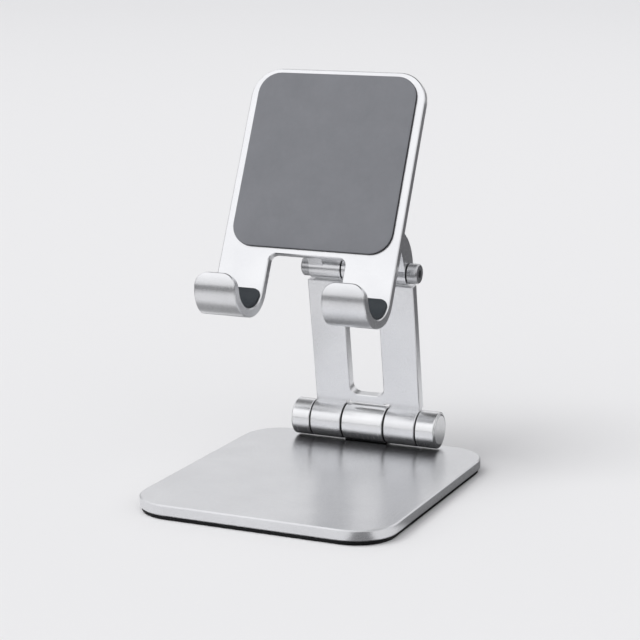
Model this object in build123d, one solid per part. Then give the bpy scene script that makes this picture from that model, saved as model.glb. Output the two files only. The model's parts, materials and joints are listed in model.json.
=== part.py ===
"""Folding phone stand: a weighted base, a tilting arm and a tilting holder.

Millimetres. X runs to the right, -Y to the front where the user sits, and +Z up.
The origin is the centre of the base's underside, on the table.
"""
import math
import os

from build123d import *

# ---------------------------------------------------------------- driving dimensions
# Base
base_width = 101.5
base_depth = 117.0
base_thickness = 4.2
base_corner = 16.0
base_edge_chamfer = 0.5
pad_thickness = 1.6
pad_inset = 0.8

# Lower hinge, along X
hinge_from_back = 6.3            # hinge axis in from the base's back edge
tube_radius = 7.4
tube_clearance = 0.4             # base top to the underside of the turning knuckles
base_knuckle_width = 17.5
arm_knuckle_width = 13.0
inner_washer_thickness = 0.7
outer_washer_thickness = 0.5
washer_recess = 0.5              # washer edge below the tube's surface
side_gap = 0.05                  # running gap beside a turning face
lower_pin_radius = 3.0
pin_running_clearance = 0.05
lower_bush_wall = 1.2
disc_spring_thickness = 0.5
disc_spring_cone = 0.2
lower_nut_thickness = 3.0
nut_room = 0.42                  # nuts and springs clear the cap's bore by this
pin_tail = 0.3                   # between the ends of a pin and of its nut
cap_length = 7.9
cap_wall = 1.2
cap_shelf_thickness = 0.8
cap_edge_radius = 0.65
plug_rim = 0.85                  # cap's wall round the plug
plug_gap = 0.2
plug_edge_radius = 0.6
plug_thickness = 2.1
plug_proud = 0.2
stud_radius = 1.5
stud_grip = 4.1
stud_clearance = 0.1
pin_end_chamfer = 0.3
segment_chamfer = 0.25

# Knuckle foot and its screws
foot_depth = 6.0
screw_radius = 1.5
screw_hole_clearance = 0.15
screw_head_radius = 2.8
screw_head_depth = 1.4
screw_spacing = 10.0
screw_tip_gap = 1.2              # metal left between a screw's tip and the pin

# Arm
arm_lean = 10.1                  # degrees forward of upright at rest
arm_thickness = 4.3
arm_face_setback = 0.9           # arm's front face behind the lower axis
arm_length = 64.9                # lower axis to upper axis, along the arm
arm_corner = 0.6
arm_foot = 7.0                   # plate's lower edge above the lower axis
arm_edge_chamfer = 0.35
knuckle_relief = 0.6             # plate cleared round the base knuckle
relief_width = 2.2
relief_height = 1.4
slot_width = 14.6
slot_start = 11.5
slot_length = 36.5
slot_corner = 3.5

# Upper hinge, along X
hub_radius = 4.64
hub_clearance = 0.35             # arm plate cleared round the turning hubs
arm_eye_width = 13.0
upper_washer_thickness = 0.6
upper_washer_radius = 4.1
hub_width = 13.3
upper_pin_radius = 2.0
upper_bush_wall = 0.9
pin_head_radius = 4.0
pin_head_length = 4.0
pin_head_chamfer = 0.5
head_washer_thickness = 0.45
head_washer_radius = 3.4
socket_across_flats = 3.0
socket_depth = 2.2
upper_nut_radius = 4.0
upper_nut_length = 3.8
nut_hole_radius = 0.45           # two holes in the nut's face for a pin spanner
nut_hole_circle = 2.85
nut_hole_depth = 1.2
spring_pocket_radius = 3.6
spring_pocket_depth = 1.4
upper_spring_radius = 3.4

# Holder
holder_tilt = 25.4               # degrees back from upright at rest
holder_width = 75.0
holder_thickness = 3.6
holder_standoff = 11.3           # plate's back face in front of the upper axis
holder_top = 77.3                # above the upper axis, along the plate
holder_corner = 12.0
holder_edge_chamfer = 0.35
leg_width = 21.1
notch_corner = 3.0
notch_edge = 0.0                 # notch's upper edge from the upper axis
hook_centre = -15.75             # centre of the hook's bend, along the plate
hook_inner_radius = 9.15
lip_height = 0.9
lip_corner = 5.5
hook_draw_in = 1.9               # each side of the hook narrows by this at the lip
lug_root_top = 12.6
lug_root_bottom = 4.9
lug_web_thickness = 6.0
lug_bulge = 7.4                  # back outline's height straight above the axis
lug_shoulder = 0.4               # web's straight side starts this far above the axis
lug_underside = 10.0             # degrees below level where the web leaves the hub in front

# Soft parts on the holder
face_pad_thickness = 1.2
face_pad_side = 3.3              # pad's edge in from the plate's side
face_pad_bottom = 2.3
face_pad_top = 75.3
face_pad_corner = 9.0
liner_thickness = 1.0
liner_side = 0.6
liner_rise = 0.85
liner_corner = 3.0
liner_arc = 165.0                # degrees of bend that the liner covers
glue_gap = 0.05

# ---------------------------------------------------------------- worked out from them
base_top = pad_thickness + base_thickness
hinge_y = base_depth / 2 - hinge_from_back
hinge_z = base_top + tube_clearance + tube_radius
base_knuckle_end = base_knuckle_width / 2
arm_knuckle_start = base_knuckle_end + inner_washer_thickness + side_gap
arm_knuckle_end = arm_knuckle_start + arm_knuckle_width
outer_washer_start = arm_knuckle_end + side_gap
cap_start = outer_washer_start + outer_washer_thickness
cap_end = cap_start + cap_length
spring_stack = 2 * (disc_spring_thickness + disc_spring_cone)
lower_nut_start = cap_start + spring_stack
lower_pin_end = lower_nut_start + lower_nut_thickness + pin_tail
plug_outer = cap_end + plug_proud
plug_seat = plug_outer - plug_thickness
washer_radius = tube_radius - washer_recess
cap_bore_radius = tube_radius - cap_wall
plug_radius = tube_radius - plug_rim - plug_gap
disc_spring_radius = cap_bore_radius - nut_room
lower_nut_across_flats = 2 * disc_spring_radius * math.cos(math.radians(30))
screw_grip = tube_clearance + tube_radius - lower_pin_radius - screw_tip_gap
lower_bush_radius = lower_pin_radius + pin_running_clearance + lower_bush_wall

arm_width = 2 * arm_knuckle_end
eye_y = arm_face_setback + arm_thickness / 2
arm_top = arm_length - hub_radius - hub_clearance
arm_place = Pos(0, hinge_y, hinge_z) * Rot(arm_lean, 0, 0)

lean = math.radians(arm_lean)
upper_y = hinge_y + eye_y * math.cos(lean) - arm_length * math.sin(lean)
upper_z = hinge_z + eye_y * math.sin(lean) + arm_length * math.cos(lean)
holder_place = Pos(0, upper_y, upper_z) * Rot(-holder_tilt, 0, 0)
eye_end = arm_eye_width / 2
hub_start = eye_end + upper_washer_thickness + 2 * side_gap
hub_end = hub_start + hub_width
upper_bush_radius = upper_pin_radius + pin_running_clearance + upper_bush_wall

holder_right = hub_end
holder_left = holder_right - holder_width
holder_middle = (holder_left + holder_right) / 2
plate_back = -holder_standoff
plate_front = plate_back - holder_thickness
hook_outer_radius = hook_inner_radius + holder_thickness
hook_y = plate_front - hook_inner_radius
lip_y = hook_y - hook_outer_radius
right_leg = (holder_right - leg_width, holder_right)
left_leg = (holder_left, holder_left + leg_width)

ALONG_X = Plane.YZ               # sketches drawn in Y and Z, extruded along X
OVERLAP = 1.0                    # joined and cutting bodies reach this far past a face
SAME_PLACE = 0.001               # edges this near a plane or a radius count as on it
MOSTLY = 0.7                     # an edge's direction lies mostly along an axis
CORNER_EDGE = 1.2                # longest edge across a plate, in thicknesses, that is a corner


# ---------------------------------------------------------------- helpers
def rod(radius, start, end, bore=0.0):
    """A cylinder along X from start to end, with an optional bore."""
    outline = Circle(radius)
    if bore:
        outline -= Circle(bore)
    return Pos(start, 0, 0) * extrude(ALONG_X * outline, end - start)


def hexagon_rod(across_flats, start, end):
    """A hexagonal bar along X."""
    outline = RegularPolygon(across_flats / 2, 6, major_radius=False)
    return Pos(start, 0, 0) * extrude(ALONG_X * outline, end - start)


def edges_at_x(solid, x):
    """The edges of a solid that lie wholly in the plane at x."""
    return solid.edges().filter_by_position(Axis.X, x - SAME_PLACE, x + SAME_PLACE)


def rims_at_x(solid, x, radius):
    """The circular rims of one radius in the plane at x."""
    rims = edges_at_x(solid, x).filter_by(GeomType.CIRCLE)
    return [rim for rim in rims if abs(rim.radius - radius) < SAME_PLACE]


def both_sides(make):
    """The right-hand piece and its mirror image, as two solids of one node."""
    right = make()
    return Compound(children=[right, mirror(right, Plane.YZ)])


def disc_springs(start, outer_radius, bore):
    """Two conical spring washers back to back, along X from start."""
    half = disc_spring_thickness + disc_spring_cone
    cone = Polyline(
        (0, bore), (disc_spring_thickness, bore), (half, outer_radius),
        (disc_spring_cone, outer_radius), close=True,
    )
    first = revolve(make_face(cone), Axis.X)
    second = mirror(first, Plane.YZ.offset(half))
    return [Pos(start, 0, 0) * first, Pos(start, 0, 0) * second]


def block(x, y, z):
    """A box between pairs of limits along each axis."""
    size = Box(x[1] - x[0], y[1] - y[0], z[1] - z[0], align=(Align.MIN,) * 3)
    return Pos(x[0], y[0], z[0]) * size


# ---------------------------------------------------------------- base
def make_base_plate():
    outline = RectangleRounded(base_width, base_depth, base_corner)
    plate = Pos(0, 0, pad_thickness) * extrude(outline, base_thickness)
    rim = plate.faces().sort_by(Axis.Z)[-1].edges() + plate.faces().sort_by(Axis.Z)[0].edges()
    plate = chamfer(rim, base_edge_chamfer)
    for x in (-screw_spacing / 2, screw_spacing / 2):
        plate -= Pos(x, hinge_y, 0) * screw_shape(screw_hole_clearance)
    return plate


def make_base_pad():
    outline = RectangleRounded(
        base_width - 2 * pad_inset, base_depth - 2 * pad_inset, base_corner - pad_inset
    )
    return extrude(outline, pad_thickness)


def screw_shape(extra=0.0):
    """A countersunk screw standing head down on the base's underside."""
    shank = screw_radius + extra
    head = screw_head_radius + extra
    profile = Polyline(
        (0, pad_thickness), (head, pad_thickness), (shank, pad_thickness + screw_head_depth),
        (shank, base_top + screw_grip), (0, base_top + screw_grip), close=True,
    )
    return revolve(Plane.XZ * make_face(profile), Axis.Z)


def make_base_screws():
    places = [-screw_spacing / 2, screw_spacing / 2]
    return Compound(children=[Pos(x, hinge_y, 0) * screw_shape() for x in places])


def make_base_knuckle():
    end = base_knuckle_end
    barrel = rod(tube_radius, -end, end)
    rims = rims_at_x(barrel, -end, tube_radius) + rims_at_x(barrel, end, tube_radius)
    barrel = chamfer(rims, segment_chamfer)
    foot = block((-end, end), (-foot_depth / 2, foot_depth / 2), (base_top - hinge_z, 0))
    knuckle = barrel + foot - rod(lower_pin_radius, -end, end)
    knuckle = Pos(0, hinge_y, hinge_z) * knuckle
    return knuckle - make_base_screws()


def at_lower_axis(shape):
    return Pos(0, hinge_y, hinge_z) * shape


def make_lower_pin():
    pin = rod(lower_pin_radius, -lower_pin_end, lower_pin_end)
    rims = rims_at_x(pin, -lower_pin_end, lower_pin_radius)
    rims += rims_at_x(pin, lower_pin_end, lower_pin_radius)
    pin = chamfer(rims, pin_end_chamfer)
    tip = lower_pin_end - stud_grip
    hole = rod(stud_radius, tip, lower_pin_end)
    return at_lower_axis(pin - hole - mirror(hole, Plane.YZ))


def make_inner_washers():
    start = base_knuckle_end
    end = start + inner_washer_thickness
    return at_lower_axis(both_sides(lambda: rod(washer_radius, start, end, lower_pin_radius)))


def make_outer_washers():
    start = outer_washer_start
    return at_lower_axis(both_sides(lambda: rod(washer_radius, start, cap_start, lower_pin_radius)))


def make_lower_springs():
    right = disc_springs(cap_start, disc_spring_radius, lower_pin_radius)
    left = [mirror(spring, Plane.YZ) for spring in right]
    return at_lower_axis(Compound(children=right + left))


def make_lower_nuts():
    def nut():
        end = lower_nut_start + lower_nut_thickness
        body = hexagon_rod(lower_nut_across_flats, lower_nut_start, end)
        return body - rod(lower_pin_radius, lower_nut_start, end)
    return at_lower_axis(both_sides(nut))


def make_end_cap():
    cap = rod(tube_radius, cap_start, cap_end)
    cap = fillet(rims_at_x(cap, cap_end, tube_radius), cap_edge_radius)
    cap = chamfer(rims_at_x(cap, cap_start, tube_radius), segment_chamfer)
    cap -= rod(cap_bore_radius, cap_start, plug_seat - cap_shelf_thickness)
    cap -= rod(plug_radius + plug_gap, plug_seat, cap_end)
    return cap - rod(stud_radius + stud_clearance, cap_start, cap_end)


def make_end_plug():
    disc = rod(plug_radius, plug_seat, plug_outer)
    disc = fillet(rims_at_x(disc, plug_outer, plug_radius), plug_edge_radius)
    tip = lower_pin_end - stud_grip
    return disc + rod(stud_radius, tip, plug_seat)


# ---------------------------------------------------------------- arm
def arm_outline():
    """Front view of the arm's plate: x across, y up the arm."""
    height = arm_top - arm_foot
    plate = Pos(0, (arm_top + arm_foot) / 2) * RectangleRounded(arm_width, height, arm_corner)
    slot = Pos(0, slot_start + slot_length / 2) * RectangleRounded(slot_width, slot_length, slot_corner)
    return plate - slot


def make_arm_plate():
    back = Plane.XZ.offset(-arm_face_setback - arm_thickness)
    plate = extrude(back * arm_outline(), arm_thickness)
    faces = plate.faces().filter_by(Axis.Y)
    plate = chamfer([edge for face in faces for edge in face.edges()], arm_edge_chamfer)

    depth = (arm_face_setback, arm_face_setback + arm_thickness)
    eye = Pos(0, eye_y, arm_length) * rod(hub_radius, -eye_end, eye_end)
    neck = block((-eye_end, eye_end), depth, (arm_top - OVERLAP, arm_length))
    arm = plate + neck + eye
    for side in (-1, 1):
        ends = sorted((side * arm_knuckle_start, side * arm_knuckle_end))
        knuckle = rod(tube_radius, *ends)
        rims = rims_at_x(knuckle, ends[0], tube_radius) + rims_at_x(knuckle, ends[1], tube_radius)
        knuckle = chamfer(rims, segment_chamfer)
        root_ends = sorted((side * arm_knuckle_start, side * (arm_knuckle_end - arm_corner)))
        root = block(root_ends, depth, (0, arm_foot + OVERLAP))
        arm += knuckle + root
        arm -= rod(lower_bush_radius, *ends)
        notch = block(
            sorted((side * (arm_knuckle_start - relief_width), side * arm_knuckle_start)),
            (arm_face_setback - OVERLAP, arm_face_setback + arm_thickness + OVERLAP),
            (0, tube_radius + relief_height),
        )
        arm -= notch
    arm -= rod(tube_radius + knuckle_relief, -arm_knuckle_start, arm_knuckle_start)
    arm -= Pos(0, eye_y, arm_length) * rod(upper_bush_radius, -eye_end, eye_end)
    return arm_place * arm


def make_lower_bushes():
    bore = lower_pin_radius + pin_running_clearance
    return arm_place * both_sides(
        lambda: rod(lower_bush_radius, arm_knuckle_start, arm_knuckle_end, bore)
    )


def make_upper_bush():
    bore = upper_pin_radius + pin_running_clearance
    bush = rod(upper_bush_radius, -eye_end, eye_end, bore)
    return arm_place * Pos(0, eye_y, arm_length) * bush


# ---------------------------------------------------------------- holder
def hook_side(inner, outer, arc_end, rise):
    """Side view of a hook: y to the back, z up the plate."""
    turn = math.radians(arc_end)
    first = (hook_y + outer, hook_centre)
    outer_mid = (hook_y + outer * math.cos(turn / 2), hook_centre - outer * math.sin(turn / 2))
    outer_end = (hook_y + outer * math.cos(turn), hook_centre - outer * math.sin(turn))
    inner_end = (hook_y + inner * math.cos(turn), hook_centre - inner * math.sin(turn))
    inner_mid = (hook_y + inner * math.cos(turn / 2), hook_centre - inner * math.sin(turn / 2))
    last = (hook_y + inner, hook_centre)
    lines = [ThreePointArc(first, outer_mid, outer_end), Line(outer_end, inner_end)]
    lines += [ThreePointArc(inner_end, inner_mid, last)]
    if rise:
        lines += [Polyline(last, (last[0], last[1] + rise), (first[0], first[1] + rise), first)]
    else:
        lines += [Line(last, first)]
    return make_face(Curve() + lines)


def draw_in_mask(leg, inset):
    """The space a hook may fill: it narrows evenly from the plate to the lip."""
    near = plate_front
    far = lip_y - OVERLAP
    draw = hook_draw_in * (near - far) / (near - lip_y)
    left, right = leg[0] + inset, leg[1] - inset
    behind = plate_back + OVERLAP
    face = make_face(Polyline(
        (left, behind), (left, near), (left + draw, far),
        (right - draw, far), (right, near), (right, behind), close=True,
    ))
    lowest = hook_centre - hook_outer_radius - OVERLAP
    return Pos(0, 0, lowest) * extrude(face, 2 * hook_outer_radius)


def make_hook(leg):
    side = hook_side(hook_inner_radius, hook_outer_radius, 180, 0)
    bend = Pos(leg[0], 0, 0) * extrude(ALONG_X * side, leg[1] - leg[0])
    lip = block(leg, (lip_y, lip_y + holder_thickness), (hook_centre, hook_centre + lip_height))
    hook = (bend + lip) & draw_in_mask(leg, 0.0)
    top = hook_centre + lip_height
    corners = [
        edge for edge in hook.edges()
        if abs(edge.center().Z - top) < SAME_PLACE and abs(edge.tangent_at(0.5).Y) > MOSTLY
        and edge.center().Y < hook_y
    ]
    return fillet(corners, lip_corner)


def make_lug(side):
    """A hub round the upper pin, held to the plate's back by a web."""
    hub = rod(hub_radius, *sorted((side * hub_start, side * hub_end)))
    leave = math.radians(lug_underside)
    underside = (-hub_radius * math.cos(leave), -hub_radius * math.sin(leave))
    shoulder = (hub_radius, lug_shoulder)
    root = plate_back - OVERLAP
    outline = Curve() + [
        Line((root, lug_root_top), (plate_back, lug_root_top)),
        ThreePointArc((plate_back, lug_root_top), (0, lug_bulge), shoulder),
        Line(shoulder, underside),
        Line(underside, (plate_back, lug_root_bottom)),
        Line((plate_back, lug_root_bottom), (root, lug_root_bottom)),
        Line((root, lug_root_bottom), (root, lug_root_top)),
    ]
    ends = sorted((side * (hub_end - lug_web_thickness), side * hub_end))
    web = Pos(ends[0], 0, 0) * extrude(ALONG_X * make_face(outline), lug_web_thickness)
    return hub + web


def make_holder_plate():
    height = holder_top - hook_centre
    blank = Pos(holder_middle, hook_centre) * Rectangle(
        holder_width, height, align=(Align.CENTER, Align.MIN)
    )
    blank = fillet(blank.vertices().sort_by(Axis.Y)[-2:], holder_corner)
    notch = Pos(holder_middle, notch_edge) * Rectangle(
        holder_width - 2 * leg_width, notch_edge - hook_centre + OVERLAP,
        align=(Align.CENTER, Align.MAX),
    )
    notch = fillet(notch.vertices().sort_by(Axis.Y)[-2:], notch_corner)
    back = Plane.XZ.offset(-plate_back)
    plate = extrude(back * (blank - notch), holder_thickness)
    for leg in (left_leg, right_leg):
        plate += make_hook(leg)
    plate = chamfer(outline_edges(plate), holder_edge_chamfer)
    for side in (-1, 1):
        plate += make_lug(side)
    plate -= rod(upper_pin_radius, -hub_end, hub_end)
    plate -= rod(spring_pocket_radius, -hub_end, -hub_end + spring_pocket_depth)
    return holder_place * plate


def outline_edges(plate):
    """The long edges round the plate and hooks, without corners and tangent seams."""
    wanted = []
    for edge in plate.edges():
        direction = edge.tangent_at(0.5)
        seam = abs(direction.X) > MOSTLY and abs(edge.center().Z - hook_centre) < SAME_PLACE
        across = abs(direction.Y) > MOSTLY and edge.length < CORNER_EDGE * holder_thickness
        if not seam and not across:
            wanted.append(edge)
    return wanted


def make_face_pad():
    left = holder_left + face_pad_side
    right = holder_right - face_pad_side
    outline = RectangleRounded(right - left, face_pad_top - face_pad_bottom, face_pad_corner)
    place = Pos((left + right) / 2, (face_pad_bottom + face_pad_top) / 2)
    front = Plane.XZ.offset(-plate_front)
    return holder_place * extrude(front * (place * outline), face_pad_thickness)


def make_liner(leg):
    outer = hook_inner_radius - glue_gap
    side = hook_side(outer - liner_thickness, outer, liner_arc, liner_rise)
    strip = Pos(leg[0], 0, 0) * extrude(ALONG_X * side, leg[1] - leg[0])
    strip &= draw_in_mask(leg, liner_side)
    top = hook_centre + liner_rise
    corners = [
        edge for edge in strip.edges()
        if abs(edge.center().Z - top) < SAME_PLACE and abs(edge.tangent_at(0.5).Y) > MOSTLY
    ]
    return holder_place * fillet(corners, liner_corner)


def make_upper_pin():
    head_start = hub_end + head_washer_thickness
    head_end = head_start + pin_head_length
    head = rod(pin_head_radius, head_start, head_end)
    head = chamfer(rims_at_x(head, head_end, pin_head_radius), pin_head_chamfer)
    tail = -hub_end - upper_nut_length + pin_tail
    pin = head + rod(upper_pin_radius, tail, head_start)
    return holder_place * (pin - hexagon_rod(socket_across_flats, head_end - socket_depth, head_end))


def make_upper_nut():
    outer = -hub_end - upper_nut_length
    nut = rod(upper_nut_radius, outer, -hub_end)
    nut = chamfer(rims_at_x(nut, outer, upper_nut_radius), pin_head_chamfer)
    nut -= rod(upper_pin_radius, outer, -hub_end)
    for offset in (-nut_hole_circle, nut_hole_circle):
        nut -= Pos(0, 0, offset) * rod(nut_hole_radius, outer, outer + nut_hole_depth)
    return holder_place * nut


def make_head_washer():
    washer = rod(head_washer_radius, hub_end, hub_end + head_washer_thickness, upper_pin_radius)
    return holder_place * washer


def make_upper_washers():
    start = eye_end + side_gap
    end = start + upper_washer_thickness
    return holder_place * both_sides(lambda: rod(upper_washer_radius, start, end, upper_pin_radius))


def make_upper_springs():
    springs = disc_springs(-hub_end, upper_spring_radius, upper_pin_radius)
    return holder_place * Compound(children=springs)


# ---------------------------------------------------------------- every node
nodes = {
    "base_plate": make_base_plate(),
    "base_pad": make_base_pad(),
    "base_screws": make_base_screws(),
    "base_knuckle": make_base_knuckle(),
    "lower_pin": make_lower_pin(),
    "lower_inner_washers": make_inner_washers(),
    "lower_outer_washers": make_outer_washers(),
    "lower_disc_springs": make_lower_springs(),
    "lower_nuts": make_lower_nuts(),
    "end_cap_right": at_lower_axis(make_end_cap()),
    "end_cap_left": at_lower_axis(mirror(make_end_cap(), Plane.YZ)),
    "end_plug_right": at_lower_axis(make_end_plug()),
    "end_plug_left": at_lower_axis(mirror(make_end_plug(), Plane.YZ)),
    "arm_plate": make_arm_plate(),
    "lower_bushes": make_lower_bushes(),
    "upper_bush": make_upper_bush(),
    "holder_plate": make_holder_plate(),
    "holder_pad": make_face_pad(),
    "hook_liner_left": make_liner(left_leg),
    "hook_liner_right": make_liner(right_leg),
    "upper_pin": make_upper_pin(),
    "upper_nut": make_upper_nut(),
    "upper_head_washer": make_head_washer(),
    "upper_washers": make_upper_washers(),
    "upper_disc_springs": make_upper_springs(),
}

os.makedirs("parts", exist_ok=True)
for name, shape in nodes.items():
    export_step(shape, f"parts/{name}.step")

print(f"lower axis y {hinge_y:.3f} z {hinge_z:.3f}")
print(f"upper axis y {upper_y:.3f} z {upper_z:.3f}")
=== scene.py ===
"""Studio picture of the folding phone stand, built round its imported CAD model. Metres."""

import json
import math

import bmesh
import bpy
from mathutils import Matrix, Vector


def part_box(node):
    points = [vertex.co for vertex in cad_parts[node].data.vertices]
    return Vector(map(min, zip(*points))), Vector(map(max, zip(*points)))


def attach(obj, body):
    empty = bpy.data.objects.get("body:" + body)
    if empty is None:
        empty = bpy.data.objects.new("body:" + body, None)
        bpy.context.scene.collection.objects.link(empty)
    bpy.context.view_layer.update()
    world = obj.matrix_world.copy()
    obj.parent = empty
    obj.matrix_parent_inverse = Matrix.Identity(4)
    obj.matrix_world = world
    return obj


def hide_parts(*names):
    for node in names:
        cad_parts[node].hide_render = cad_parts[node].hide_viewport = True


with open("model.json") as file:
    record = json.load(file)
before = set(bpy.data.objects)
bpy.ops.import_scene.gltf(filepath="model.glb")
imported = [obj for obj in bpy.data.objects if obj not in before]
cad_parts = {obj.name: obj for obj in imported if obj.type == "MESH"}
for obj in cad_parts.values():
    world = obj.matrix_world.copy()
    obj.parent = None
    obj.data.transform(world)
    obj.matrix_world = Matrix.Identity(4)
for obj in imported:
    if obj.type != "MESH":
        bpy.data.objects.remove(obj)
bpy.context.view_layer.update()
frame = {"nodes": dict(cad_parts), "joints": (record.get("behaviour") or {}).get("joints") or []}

MM = 0.001

# ---------------------------------------------------------------- places from the frame
JOINTS = {joint["name"]: Vector(joint["pos_m"]) for joint in frame["joints"]}
UPPER_AXIS = JOINTS["holder_tilt"]
HOLDER_TILT = math.radians(25.4)
HOLDER_UP = Vector((0, math.sin(HOLDER_TILT), math.cos(HOLDER_TILT)))
HOLDER_FRONT = Vector((0, -math.cos(HOLDER_TILT), math.sin(HOLDER_TILT)))

# Hook bend, measured from the upper axis along the holder's own directions
HOOK_FORWARD = 24.05 * MM
HOOK_UP = -15.75 * MM
LINER_OUTER = 9.1 * MM
LINER_THICKNESS = 1.0 * MM
LINER_ARC = math.radians(165)
LINER_CORNER = 3.0 * MM
LINER_RISE = 0.85 * MM
LINER_DRAW_IN = 1.9 * MM         # each side, from the plate to the lip

# The lower knuckle's foot is painted near black up to just over the plate: painted shade where the
# hinge meets the base
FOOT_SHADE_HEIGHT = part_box("base_plate")[1].z + 0.9 * MM
FOOT_SHADE_FADE = 0.3 * MM
PAINTED_FOOT_SHADE = (0.02, 0.02, 0.021, 1)

# ---------------------------------------------------------------- soft pieces' own sizes
BASE_PAD_CORNER = 15.2 * MM
BASE_PAD_EDGE_ROW = 0.4 * MM     # a row of points down the edge, from the plate
BASE_PAD_ROUNDING = 0.55 * MM
FACE_PAD_CORNER = 9.0 * MM
FACE_PAD_ROUNDINGS = (0.15 * MM, 0.45 * MM)
LINER_ROUNDINGS = (0.08 * MM, 0.35 * MM)
# how far apart the rows of points lie
BASE_PAD_STEP = 6.0 * MM
FACE_PAD_STEP = 3.0 * MM
LINER_STEP = 1.2 * MM
LINER_ROWS_ALONG = 40
STRAIGHT_ROWS = 24
CORNER_STEPS = 8
EDGE_STEPS = 5
SEAM_GAP = 0.15 * MM             # half the width left for the faces that close a sheet's middle
ROW_GAP = 0.3                    # least distance of a row from the edge, in steps
SMALLEST = 0.01 * MM

# ---------------------------------------------------------------- surface grain
NOISE_MIDDLE = (0.3, 0.7)        # the range that most of a noise texture's values lie in
METAL_GRAIN_DEPTH = 0.04 * MM
POLYMER_GRAIN_DEPTH = 0.05 * MM
RUBBER_GRAIN_DEPTH = 0.1 * MM
# a colour mix node has its colours and its result in these sockets
MIX_A, MIX_B, MIX_RESULT = 6, 7, 2

# ---------------------------------------------------------------- studio's sizes and light
CAMERA_AZIMUTH = 23.94
CAMERA_ELEVATION = 11.88
CAMERA_PLACE = Vector((0.28757, -0.64354, 0.21436))
CAMERA_LENS = 107.8
CAMERA_SENSOR = 36
CAMERA_NEAR = 0.01

FLOOR_HALF = 60.0
# the floor's colour darkens between these distances: painted shade, as if the light fell off far from
# the stand
FLOOR_FADE = (0.3, 5.0)          # distances from the stand
FLOOR_NEAR = (0.845, 0.844, 0.850)
FLOOR_FAR = (0.775, 0.776, 0.784)
# The wall is nearer than the far clip of a camera that is set for a small object
BACKDROP_SIDES = 64
BACKDROP_RADIUS = 8.0
BACKDROP_FOOT, BACKDROP_TOP = -0.1, 6.0
BACKDROP_COLOUR = (0.775, 0.776, 0.786, 1)

FLAG_HALF = 3.0
FLAG_HEIGHT = 0.3 * MM
FLAG_DARK = (0.13, 0.13, 0.135)
FLAG_FAR = (0.15, 0.32)          # distances between which the cloth turns dark all round
# azimuth, cosines where it starts and is full, distances where it fades, strength
FLAG_WEDGES = (
    (37, 0.990, 0.998, 0.10, 0.14, 0.85),
    (110, 0.60, 0.72, 0.095, 0.115, 0.80),
    (-100, 0.86, 0.97, 0.095, 0.115, 0.7),
    (-150, 0.93, 0.985, 0.25, 0.35, 0.8),
)
# The hinge strip is painted shade: a dark sheet on the base plate, seen only in gloss, for the hinge's
# underside to reflect
HINGE_FLAG_HEIGHT = 0.15 * MM    # above the base plate
HINGE_FLAG_FADE, HINGE_FLAG_REACH = 7 * MM, 15 * MM
HINGE_SHADE_COLOUR = (0.09, 0.09, 0.094)

SUN_AZIMUTH, SUN_ELEVATION = -55, 58
SUN_WIDTH = math.radians(35)
SUN_STRENGTH = 1.08
WORLD_COLOUR = (0.985, 0.985, 1.0, 1)
HORIZON_DARK = 0.25
# azimuth, cosines where it starts and is full, strength
HORIZON_LOBES = ((-24, 0.35, 0.90, 0.75), (212, 0.80, 0.99, 0.42))
RISE = (0.06, 0.42)              # sines of the heights between which the horizon turns to sky
SKY = 0.94
# azimuth, elevation, cosines where it starts and is full, strength
OVERHEAD_SHADE = (180, 68, 0.72, 0.97, 0.85)
GLOW = (-35, 42, 0.85, 0.99, 0.25)


# ---------------------------------------------------------------- meshes
def new_piece(name, mesh):
    """Puts a mesh into the scene as an object of that name."""
    piece = bpy.data.objects.new(name, mesh)
    bpy.context.scene.collection.objects.link(piece)
    return piece


def rounded_loop(width, length, radius, along):
    """Points round a rectangle with round corners, from the middle of its lower short side.

    The points mirror each other about the long axis, point i with point -i."""
    radius = max(min(radius, width / 2 - SMALLEST, length / 2 - SMALLEST), SMALLEST)
    half_w, half_l = width / 2 - radius, length / 2 - radius
    across = max(2, along // 3)
    right = [(half_w * i / across, -length / 2) for i in range(across + 1)]
    for i in range(1, CORNER_STEPS + 1):
        turn = -math.pi / 2 + math.pi / 2 * i / CORNER_STEPS
        right.append((half_w + radius * math.cos(turn), -half_l + radius * math.sin(turn)))
    for i in range(1, along + 1):
        right.append((width / 2, -half_l + 2 * half_l * i / along))
    for i in range(1, CORNER_STEPS + 1):
        turn = math.pi / 2 * i / CORNER_STEPS
        right.append((half_w + radius * math.cos(turn), half_l + radius * math.sin(turn)))
    for i in range(1, across + 1):
        right.append((half_w * (1 - i / across), length / 2))
    left = [(-x, y) for x, y in reversed(right[1:-1])]
    return right + left


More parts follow.
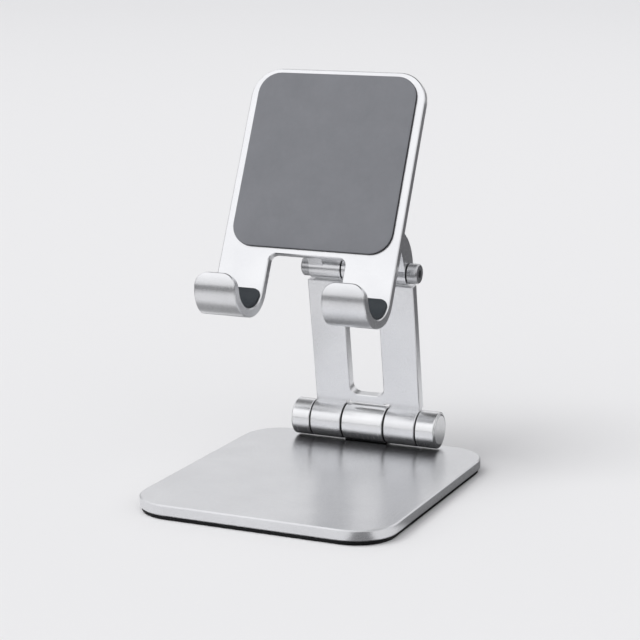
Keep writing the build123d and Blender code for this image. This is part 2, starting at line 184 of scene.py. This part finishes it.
def slab(name, size, corner, profile, place, step, along=STRAIGHT_ROWS):
    """A closed sheet with rounded corners, whose edge follows profile's (inset, height) pairs.

    place(x, y, height) gives a point of the sheet its position in the row's frame.
    The edge up to the profile's middle takes the piece's second material."""
    width, length = size
    reach = min(width, length) / 2 - SEAM_GAP
    first_inset, first_height = profile[0]
    last_inset, last_height = profile[-1]
    inward = [step * i for i in range(1, int(reach / step) + 1)] + [reach]
    gap = ROW_GAP * step
    under = [(inset, first_height) for inset in reversed(inward) if inset > first_inset + gap]
    over = [(inset, last_height) for inset in inward if inset > last_inset + gap]
    mesh = bmesh.new()
    rings = []
    for inset, height in under + profile + over:
        loop = rounded_loop(width - 2 * inset, length - 2 * inset, corner - inset, along)
        rings.append([mesh.verts.new(place(x, y, height)) for x, y in loop])
    count = len(rings[0])
    for number, (lower, upper) in enumerate(zip(rings, rings[1:])):
        on_edge = len(under) <= number < len(under) + len(profile) // 2 + 1
        for i in range(count):
            j = (i + 1) % count
            face = mesh.faces.new((lower[i], lower[j], upper[j], upper[i]))
            face.material_index = int(on_edge)
    for ring in (rings[0], rings[-1]):
        for i in range(count // 2):
            corners = [ring[i], ring[i + 1], ring[(-i - 1) % count], ring[-i % count]]
            unique = list(dict.fromkeys(corners))
            if len(unique) > 2:
                mesh.faces.new(unique)
    bmesh.ops.recalc_face_normals(mesh, faces=mesh.faces)
    data = bpy.data.meshes.new(name)
    mesh.to_mesh(data)
    mesh.free()
    data.shade_smooth()
    return new_piece(name, data)


def round_edge(thickness, lower, upper):
    """(inset, height) pairs for a sheet's edge with its lower and upper corners rounded."""
    points = []
    for i in range(EDGE_STEPS + 1):
        turn = math.pi / 2 * i / EDGE_STEPS
        points.append((lower * (1 - math.sin(turn)), lower * (1 - math.cos(turn))))
    for i in range(EDGE_STEPS + 1):
        turn = math.pi / 2 * i / EDGE_STEPS
        points.append((upper * (1 - math.cos(turn)), thickness - upper * (1 - math.sin(turn))))
    return points


# ---------------------------------------------------------------- materials
def material(name, metallic=0.0, roughness=0.5, color=(0.8, 0.8, 0.8), specular=0.5):
    """A new material with its nodes, its links and its main shader."""
    made = bpy.data.materials.new(name)
    made.use_nodes = True
    shader = made.node_tree.nodes["Principled BSDF"]
    shader.inputs["Metallic"].default_value = metallic
    shader.inputs["Roughness"].default_value = roughness
    shader.inputs["Base Color"].default_value = (*color, 1)
    shader.inputs["Specular IOR Level"].default_value = specular
    return made, made.node_tree.nodes, made.node_tree.links, shader


def noise(nodes, links, scale, detail=4.0, stretch=(1, 1, 1), roughness=0.55):
    """Noise in the object's own metres, stretched along its axes."""
    place = nodes.new("ShaderNodeTexCoord")
    mapping = nodes.new("ShaderNodeMapping")
    mapping.inputs["Scale"].default_value = stretch
    texture = nodes.new("ShaderNodeTexNoise")
    texture.inputs["Scale"].default_value = scale
    texture.inputs["Detail"].default_value = detail
    texture.inputs["Roughness"].default_value = roughness
    links.new(place.outputs["Object"], mapping.inputs["Vector"])
    links.new(mapping.outputs["Vector"], texture.inputs["Vector"])
    return texture.outputs["Fac"]


def spread(nodes, links, value, low, high):
    """A noise value spread between low and high."""
    ranged = nodes.new("ShaderNodeMapRange")
    ranged.inputs["From Min"].default_value = NOISE_MIDDLE[0]
    ranged.inputs["From Max"].default_value = NOISE_MIDDLE[1]
    ranged.inputs["To Min"].default_value = low
    ranged.inputs["To Max"].default_value = high
    links.new(value, ranged.inputs["Value"])
    return ranged.outputs["Result"]


def tint(nodes, links, value, first, second, ends=NOISE_MIDDLE):
    """A colour that goes from the first to the second as a value goes between the ends."""
    ramp = nodes.new("ShaderNodeValToRGB")
    for element, position, colour in zip(ramp.color_ramp.elements, ends, (first, second)):
        element.position = position
        element.color = (*colour, 1)
    links.new(value, ramp.inputs["Fac"])
    return ramp.outputs["Color"]


def bump(nodes, links, shader, heights, distance):
    """Chains bumps from (height, strength) pairs into the shader's normal."""
    previous = None
    for height, strength in heights:
        node = nodes.new("ShaderNodeBump")
        node.inputs["Strength"].default_value = strength
        node.inputs["Distance"].default_value = distance
        links.new(height, node.inputs["Height"])
        if previous:
            links.new(previous, node.inputs["Normal"])
        previous = node.outputs["Normal"]
    links.new(previous, shader.inputs["Normal"])


def smooth(nodes, links, value, start, end):
    """0 before start and 1 after end, with a smooth rise between them."""
    share = nodes.new("ShaderNodeMapRange")
    share.interpolation_type = "SMOOTHSTEP"
    share.inputs["From Min"].default_value = start
    share.inputs["From Max"].default_value = end
    links.new(value, share.inputs["Value"])
    return share.outputs["Result"]


def vector_value(nodes, links, operation, vector, other=None):
    """The length of a vector, its dot product with another, or the vector at length 1."""
    node = nodes.new("ShaderNodeVectorMath")
    node.operation = operation
    links.new(vector, node.inputs[0])
    if other:
        node.inputs[1].default_value = other
    return node.outputs["Vector" if operation == "NORMALIZE" else "Value"]


def scalar(nodes, links, operation, first, second):
    """A sum, product or the like of two values, each a number or a socket."""
    node = nodes.new("ShaderNodeMath")
    node.operation = operation
    for socket, value in zip(node.inputs, (first, second)):
        if isinstance(value, (int, float)):
            socket.default_value = value
        else:
            links.new(value, socket)
    return node.outputs["Value"]


def anodised(name, dark, light, rough_low, rough_high):
    """Bead-blasted, anodised aluminium: a fine even grain and a soft gloss."""
    made, nodes, links, shader = material(name, metallic=1.0)
    cloud = noise(nodes, links, 60, detail=5)
    grain = noise(nodes, links, 5200, detail=2, roughness=0.7)
    links.new(tint(nodes, links, cloud, dark, light), shader.inputs["Base Color"])
    links.new(spread(nodes, links, grain, rough_low, rough_high), shader.inputs["Roughness"])
    bump(nodes, links, shader, [(grain, 0.12)], METAL_GRAIN_DEPTH)
    return made


def turned(name, dark, light, rough_low, rough_high, shade_below=0.0):
    """Lathe-turned metal: fine rings round the X axis, and painted shade, near black, below a height
    if one is given.
    """
    made, nodes, links, shader = material(name, metallic=1.0)
    cloud = noise(nodes, links, 90, detail=4)
    rings = noise(nodes, links, 60, detail=3, stretch=(220, 3, 3))
    colour = tint(nodes, links, cloud, dark, light)
    if shade_below:
        place = nodes.new("ShaderNodeTexCoord").outputs["Object"]
        height = vector_value(nodes, links, "DOT_PRODUCT", place, (0, 0, 1))
        mix = nodes.new("ShaderNodeMix")
        mix.data_type = "RGBA"
        above = smooth(nodes, links, height, shade_below, shade_below + FOOT_SHADE_FADE)
        links.new(above, mix.inputs["Factor"])
        mix.inputs[MIX_A].default_value = PAINTED_FOOT_SHADE
        links.new(colour, mix.inputs[MIX_B])
        colour = mix.outputs[MIX_RESULT]
    links.new(colour, shader.inputs["Base Color"])
    links.new(spread(nodes, links, rings, rough_low, rough_high), shader.inputs["Roughness"])
    bump(nodes, links, shader, [(rings, 0.06)], METAL_GRAIN_DEPTH)
    return made


def rubber(name, dark, light, grain_scale, grain_strength, roughness, specular=0.35):
    """Moulded rubber with a fine matt grain."""
    made, nodes, links, shader = material(name, roughness=roughness, specular=specular)
    cloud = noise(nodes, links, 45, detail=8, roughness=0.72)
    grain = noise(nodes, links, grain_scale, detail=4, roughness=0.7)
    coarse = noise(nodes, links, grain_scale / 5, detail=3)
    links.new(tint(nodes, links, cloud, dark, light), shader.inputs["Base Color"])
    rough = spread(nodes, links, coarse, roughness - 0.07, roughness + 0.07)
    links.new(rough, shader.inputs["Roughness"])
    heights = [(grain, grain_strength), (coarse, grain_strength * 0.6)]
    bump(nodes, links, shader, heights, RUBBER_GRAIN_DEPTH)
    return made


def polymer(name, dark, light, roughness):
    """Moulded dark plastic for the washers and bushes."""
    made, nodes, links, shader = material(name, roughness=roughness, specular=0.4)
    cloud = noise(nodes, links, 400, detail=4)
    grain = noise(nodes, links, 3000, detail=2)
    links.new(tint(nodes, links, cloud, dark, light), shader.inputs["Base Color"])
    rough = spread(nodes, links, grain, roughness - 0.08, roughness + 0.08)
    links.new(rough, shader.inputs["Roughness"])
    bump(nodes, links, shader, [(grain, 0.1)], POLYMER_GRAIN_DEPTH)
    return made


satin = anodised("satin_aluminium", (0.77, 0.775, 0.79), (0.82, 0.825, 0.835), 0.24, 0.32)
plate = anodised("base_aluminium", (0.75, 0.755, 0.77), (0.80, 0.805, 0.82), 0.24, 0.31)
bright = turned("bright_aluminium", (0.80, 0.805, 0.815), (0.86, 0.865, 0.87), 0.20, 0.28)
# the knuckle's foot carries painted shade, near black where it meets the base plate
knuckle = turned(
    "knuckle_aluminium_foot_shade", (0.80, 0.805, 0.815), (0.86, 0.865, 0.87), 0.20, 0.28, FOOT_SHADE_HEIGHT
)
steel = turned("pin_steel", (0.52, 0.525, 0.535), (0.60, 0.605, 0.615), 0.24, 0.33)
washer = polymer("dark_polymer", (0.006, 0.006, 0.007), (0.014, 0.014, 0.015), 0.5)
pad_rubber = rubber("pad_rubber", (0.176, 0.181, 0.196), (0.204, 0.209, 0.225), 2600, 0.25, 0.62)
# painted shade: the face pad's rim is near black next to the plate, standing in for its shaded sides
pad_rim_shade = rubber("pad_rim_shade", (0.012, 0.012, 0.014), (0.020, 0.020, 0.023), 2600, 0.25, 0.6, 0.2)
liner_rubber = rubber("liner_rubber", (0.028, 0.034, 0.040), (0.040, 0.047, 0.054), 2200, 0.2, 0.55)
silicone = rubber("base_silicone", (0.004, 0.004, 0.005), (0.008, 0.008, 0.009), 1800, 0.2, 0.6, 0.2)

FINISHES = {
    "base_plate": plate,
    "base_knuckle": knuckle,
    "end_cap_left": bright,
    "end_cap_right": bright,
    "end_plug_left": bright,
    "end_plug_right": bright,
    "arm_plate": satin,
    "holder_plate": satin,
    "upper_pin": steel,
    "upper_nut": steel,
    "lower_pin": steel,
    "lower_nuts": steel,
    "lower_disc_springs": steel,
    "upper_disc_springs": steel,
    "base_screws": steel,
    "lower_inner_washers": washer,
    "lower_outer_washers": washer,
    "lower_bushes": washer,
    "upper_bush": washer,
    "upper_head_washer": washer,
    "upper_washers": washer,
}
for node_name, finish in FINISHES.items():
    node = frame["nodes"][node_name]
    node.data.materials.clear()
    node.data.materials.append(finish)


# ---------------------------------------------------------------- soft pieces
def make_base_pad():
    """The silicone mat under the base, its lower edge rounded."""
    low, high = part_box("base_pad")
    middle = (low + high) / 2
    thickness = high.z - low.z
    size = (high.x - low.x, high.y - low.y)

    def place(x, y, height):
        return Vector((middle.x + x, middle.y + y, high.z - height))

    rounded = round_edge(thickness, 0.0, BASE_PAD_ROUNDING)
    profile = [(0.0, 0.0), (0.0, BASE_PAD_EDGE_ROW)]
    profile += [(inset, height) for inset, height in rounded if height > BASE_PAD_EDGE_ROW]
    pad = slab("silicone_foot", size, BASE_PAD_CORNER, profile, place, BASE_PAD_STEP)
    pad.data.materials.append(silicone)
    pad.data.materials.append(silicone)
    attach(pad, "base")
    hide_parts("base_pad")


def make_face_pad():
    """The rubber pad that a phone leans on; its tilted box gives its length and thickness."""
    low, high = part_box("holder_pad")
    middle = (low + high) / 2
    span_y, span_z = high.y - low.y, high.z - low.z
    sine, cosine = math.sin(HOLDER_TILT), math.cos(HOLDER_TILT)
    length = (span_z * cosine - span_y * sine) / (cosine ** 2 - sine ** 2)
    thickness = (span_y - length * sine) / cosine
    back = middle - HOLDER_FRONT * thickness / 2

    def place(x, y, height):
        return back + Vector((x, 0, 0)) + HOLDER_UP * y + HOLDER_FRONT * height

    profile = round_edge(thickness, *FACE_PAD_ROUNDINGS)
    size = (high.x - low.x, length)
    pad = slab("face_pad", size, FACE_PAD_CORNER, profile, place, FACE_PAD_STEP)
    pad.data.materials.append(pad_rubber)
    # the second material paints shade on the rim's half next to the plate
    pad.data.materials.append(pad_rim_shade)
    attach(pad, "holder")
    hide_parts("holder_pad")


def make_liner(side):
    """The rubber strip inside a hook, bent round the hook and narrower towards the lip."""
    node_name = f"hook_liner_{side}"
    low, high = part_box(node_name)
    centre = UPPER_AXIS + HOLDER_FRONT * HOOK_FORWARD + HOLDER_UP * HOOK_UP
    centre.x = (low.x + high.x) / 2
    middle_radius = LINER_OUTER - LINER_THICKNESS / 2
    length = LINER_RISE + middle_radius * LINER_ARC
    width = high.x - low.x

    def place(x, y, height):
        """y runs from the liner's end at the lip to its top edge on the plate."""
        along = length / 2 - y
        radius = LINER_OUTER - height
        turn = max(0.0, along - LINER_RISE) / middle_radius
        rise = max(0.0, LINER_RISE - along)
        forward = -radius * math.cos(turn)
        share = (LINER_OUTER + forward) / (2 * LINER_OUTER)
        narrowed = x * (1 - 2 * LINER_DRAW_IN * share / width)
        point = centre + HOLDER_FRONT * forward - HOLDER_UP * radius * math.sin(turn)
        return point + HOLDER_UP * rise + Vector((narrowed, 0, 0))

    profile = round_edge(LINER_THICKNESS, *LINER_ROUNDINGS)
    liner = slab(
        f"hook_pad_{side}", (width, length), LINER_CORNER, profile, place, LINER_STEP, LINER_ROWS_ALONG
    )
    liner.data.materials.append(liner_rubber)
    liner.data.materials.append(liner_rubber)
    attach(liner, "holder")
    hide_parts(node_name)


make_base_pad()
make_face_pad()
make_liner("left")
make_liner("right")


# ---------------------------------------------------------------- studio
def towards(azimuth, elevation):
    """The direction to a point of the studio; azimuth 0 is the front, 90 the right."""
    azimuth, elevation = math.radians(azimuth), math.radians(elevation)
    level = math.cos(elevation)
    return Vector((math.sin(azimuth) * level, -math.cos(azimuth) * level, math.sin(elevation)))


def make_camera():
    """The camera, level from side to side, looking at the stand from the front and the right."""
    data = bpy.data.cameras.new("camera")
    data.lens = CAMERA_LENS
    data.sensor_width = CAMERA_SENSOR
    data.clip_start = CAMERA_NEAR
    camera = bpy.data.objects.new("camera", data)
    bpy.context.scene.collection.objects.link(camera)
    back = towards(CAMERA_AZIMUTH, CAMERA_ELEVATION)
    right = towards(CAMERA_AZIMUTH + 90, 0)
    up = back.cross(right)
    turn = Matrix((right, up, back)).transposed().to_4x4()
    camera.matrix_world = Matrix.Translation(CAMERA_PLACE) @ turn
    bpy.context.scene.camera = camera


def level_sheet(name, low, high, height):
    """A level rectangle between two corners."""
    mesh = bpy.data.meshes.new(name)
    corners = [
        (low[0], low[1], height), (high[0], low[1], height),
        (high[0], high[1], height), (low[0], high[1], height),
    ]
    mesh.from_pydata(corners, [], [(0, 1, 2, 3)])
    return new_piece(name, mesh)


def only_reflected(sheet):
    """Hides a flag from the camera and from the soft light, so that only gloss shows it."""
    sheet.visible_camera = False
    sheet.visible_shadow = False
    sheet.visible_diffuse = False


def make_floor():
    """A wide pale sheet of paper that the stand rests on; its colour is a little darker far off,
    painted shade where the light falls off.
    """
    floor = level_sheet("floor", (-FLOOR_HALF, -FLOOR_HALF), (FLOOR_HALF, FLOOR_HALF), 0.0)
    made, nodes, links, shader = material("floor_paper", roughness=1.0, specular=0.0)
    place = nodes.new("ShaderNodeTexCoord").outputs["Object"]
    far = smooth(nodes, links, vector_value(nodes, links, "LENGTH", place), *FLOOR_FADE)
    colour = tint(nodes, links, far, FLOOR_NEAR, FLOOR_FAR, ends=(0, 1))
    links.new(colour, shader.inputs["Base Color"])
    floor.data.materials.append(made)


def make_backdrop():
    """A round pale wall that hides the floor's far edge, and that only the camera sees."""
    sides = BACKDROP_SIDES
    rim = [towards(360 * i / sides, 0) * BACKDROP_RADIUS for i in range(sides)]
    points = [(p.x, p.y, z) for z in (BACKDROP_FOOT, BACKDROP_TOP) for p in rim]
    faces = [(i, (i + 1) % sides, sides + (i + 1) % sides, sides + i) for i in range(sides)]
    mesh = bpy.data.meshes.new("backdrop")
    mesh.from_pydata(points, [], faces)
    wall = new_piece("backdrop", mesh)
    made, _, _, shader = material("backdrop_paper", roughness=1.0, specular=0.0, color=(0, 0, 0))
    shader.inputs["Emission Color"].default_value = BACKDROP_COLOUR
    shader.inputs["Emission Strength"].default_value = 1.0
    mesh.materials.append(made)
    wall.visible_glossy = False
    wall.visible_diffuse = False
    wall.visible_shadow = False


def make_floor_flag():
    """A dark cloth on the floor: all round from a short way off, and in wedges close to the stand."""
    flag = level_sheet("floor_flag", (-FLAG_HALF, -FLAG_HALF), (FLAG_HALF, FLAG_HALF), FLAG_HEIGHT)
    made, nodes, links, shader = material("floor_flag", roughness=1.0, specular=0.0)
    place = nodes.new("ShaderNodeTexCoord").outputs["Object"]
    distance = vector_value(nodes, links, "LENGTH", place)
    heading = vector_value(nodes, links, "NORMALIZE", place)
    dark = smooth(nodes, links, distance, *FLAG_FAR)
    for azimuth, start, end, fade_start, fade_end, strength in FLAG_WEDGES:
        turned_to = vector_value(nodes, links, "DOT_PRODUCT", heading, towards(azimuth, 0))
        wedge = smooth(nodes, links, turned_to, start, end)
        faded = smooth(nodes, links, distance, fade_start, fade_end)
        close = scalar(nodes, links, "SUBTRACT", 1.0, faded)
        wedge = scalar(nodes, links, "MULTIPLY", wedge, close)
        wedge = scalar(nodes, links, "MULTIPLY", wedge, strength)
        dark = scalar(nodes, links, "MAXIMUM", dark, wedge)
    colour = tint(nodes, links, dark, FLOOR_NEAR, FLAG_DARK, ends=(0, 1))
    links.new(colour, shader.inputs["Base Color"])
    flag.data.materials.append(made)
    only_reflected(flag)


def make_hinge_shade():
    """A dark strip over the base in front of the lower hinge, clear when seen from below: painted
    shade that only gloss shows, so the hinge tube's underside reflects darkness as if shade lay
    between it and the base.
    """
    low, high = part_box("base_plate")
    axis_y = JOINTS["arm_tilt"].y
    corners = (low.x, axis_y - HINGE_FLAG_REACH), (high.x, high.y)
    flag = level_sheet("hinge_painted_shade", *corners, high.z + HINGE_FLAG_HEIGHT)
    made, nodes, links, shader = material(
        "hinge_painted_shade", roughness=1.0, specular=0.0, color=HINGE_SHADE_COLOUR
    )
    clear = nodes.new("ShaderNodeBsdfTransparent")
    mix = nodes.new("ShaderNodeMixShader")
    place = nodes.new("ShaderNodeTexCoord").outputs["Object"]
    forward = vector_value(nodes, links, "DOT_PRODUCT", place, (0, -1, 0))
    fade = smooth(nodes, links, forward, HINGE_FLAG_FADE - axis_y, HINGE_FLAG_REACH - axis_y)
    behind = nodes.new("ShaderNodeNewGeometry").outputs["Backfacing"]
    links.new(scalar(nodes, links, "MAXIMUM", behind, fade), mix.inputs["Fac"])
    links.new(shader.outputs["BSDF"], mix.inputs[1])
    links.new(clear.outputs["BSDF"], mix.inputs[2])
    links.new(mix.outputs["Shader"], nodes["Material Output"].inputs["Surface"])
    flag.data.materials.append(made)
    only_reflected(flag)


def make_sun():
    """A soft light with parallel rays, so that the whole floor is lit alike; gloss doesn't show it."""
    data = bpy.data.lights.new("key_light", "SUN")
    data.angle = SUN_WIDTH
    data.energy = SUN_STRENGTH
    lamp = bpy.data.objects.new("key_light", data)
    bpy.context.scene.collection.objects.link(lamp)
    towards_sun = towards(SUN_AZIMUTH, SUN_ELEVATION)
    lamp.rotation_euler = towards_sun.to_track_quat("Z", "Y").to_euler()
    lamp.visible_glossy = False


def make_world():
    """A studio's soft surroundings: bright at a middle height, darker overhead and low down."""
    world = bpy.data.worlds.new("studio")
    bpy.context.scene.world = world
    world.use_nodes = True
    nodes, links = world.node_tree.nodes, world.node_tree.links
    background = nodes["Background"]
    view = nodes.new("ShaderNodeTexCoord").outputs["Generated"]

    def lobe(azimuth, elevation, start, end, strength):
        """Light that grows to its strength as the view turns towards a direction."""
        turned_to = vector_value(nodes, links, "DOT_PRODUCT", view, towards(azimuth, elevation))
        grown = smooth(nodes, links, turned_to, start, end)
        return scalar(nodes, links, "MULTIPLY", grown, strength)

    low = HORIZON_DARK
    for azimuth, start, end, strength in HORIZON_LOBES:
        low = scalar(nodes, links, "ADD", lobe(azimuth, 0, start, end, strength), low)
    high = scalar(nodes, links, "SUBTRACT", SKY, lobe(*OVERHEAD_SHADE))
    blend = nodes.new("ShaderNodeMix")
    links.new(lobe(0, 90, *RISE, 1.0), blend.inputs["Factor"])
    links.new(low, blend.inputs["A"])
    links.new(high, blend.inputs["B"])
    total = scalar(nodes, links, "ADD", blend.outputs["Result"], lobe(*GLOW))
    links.new(total, background.inputs["Strength"])
    background.inputs["Color"].default_value = WORLD_COLOUR


bpy.context.scene.view_settings.view_transform = "Standard"
make_camera()
make_floor()
make_backdrop()
make_floor_flag()
make_hinge_shade()
make_world()
make_sun()
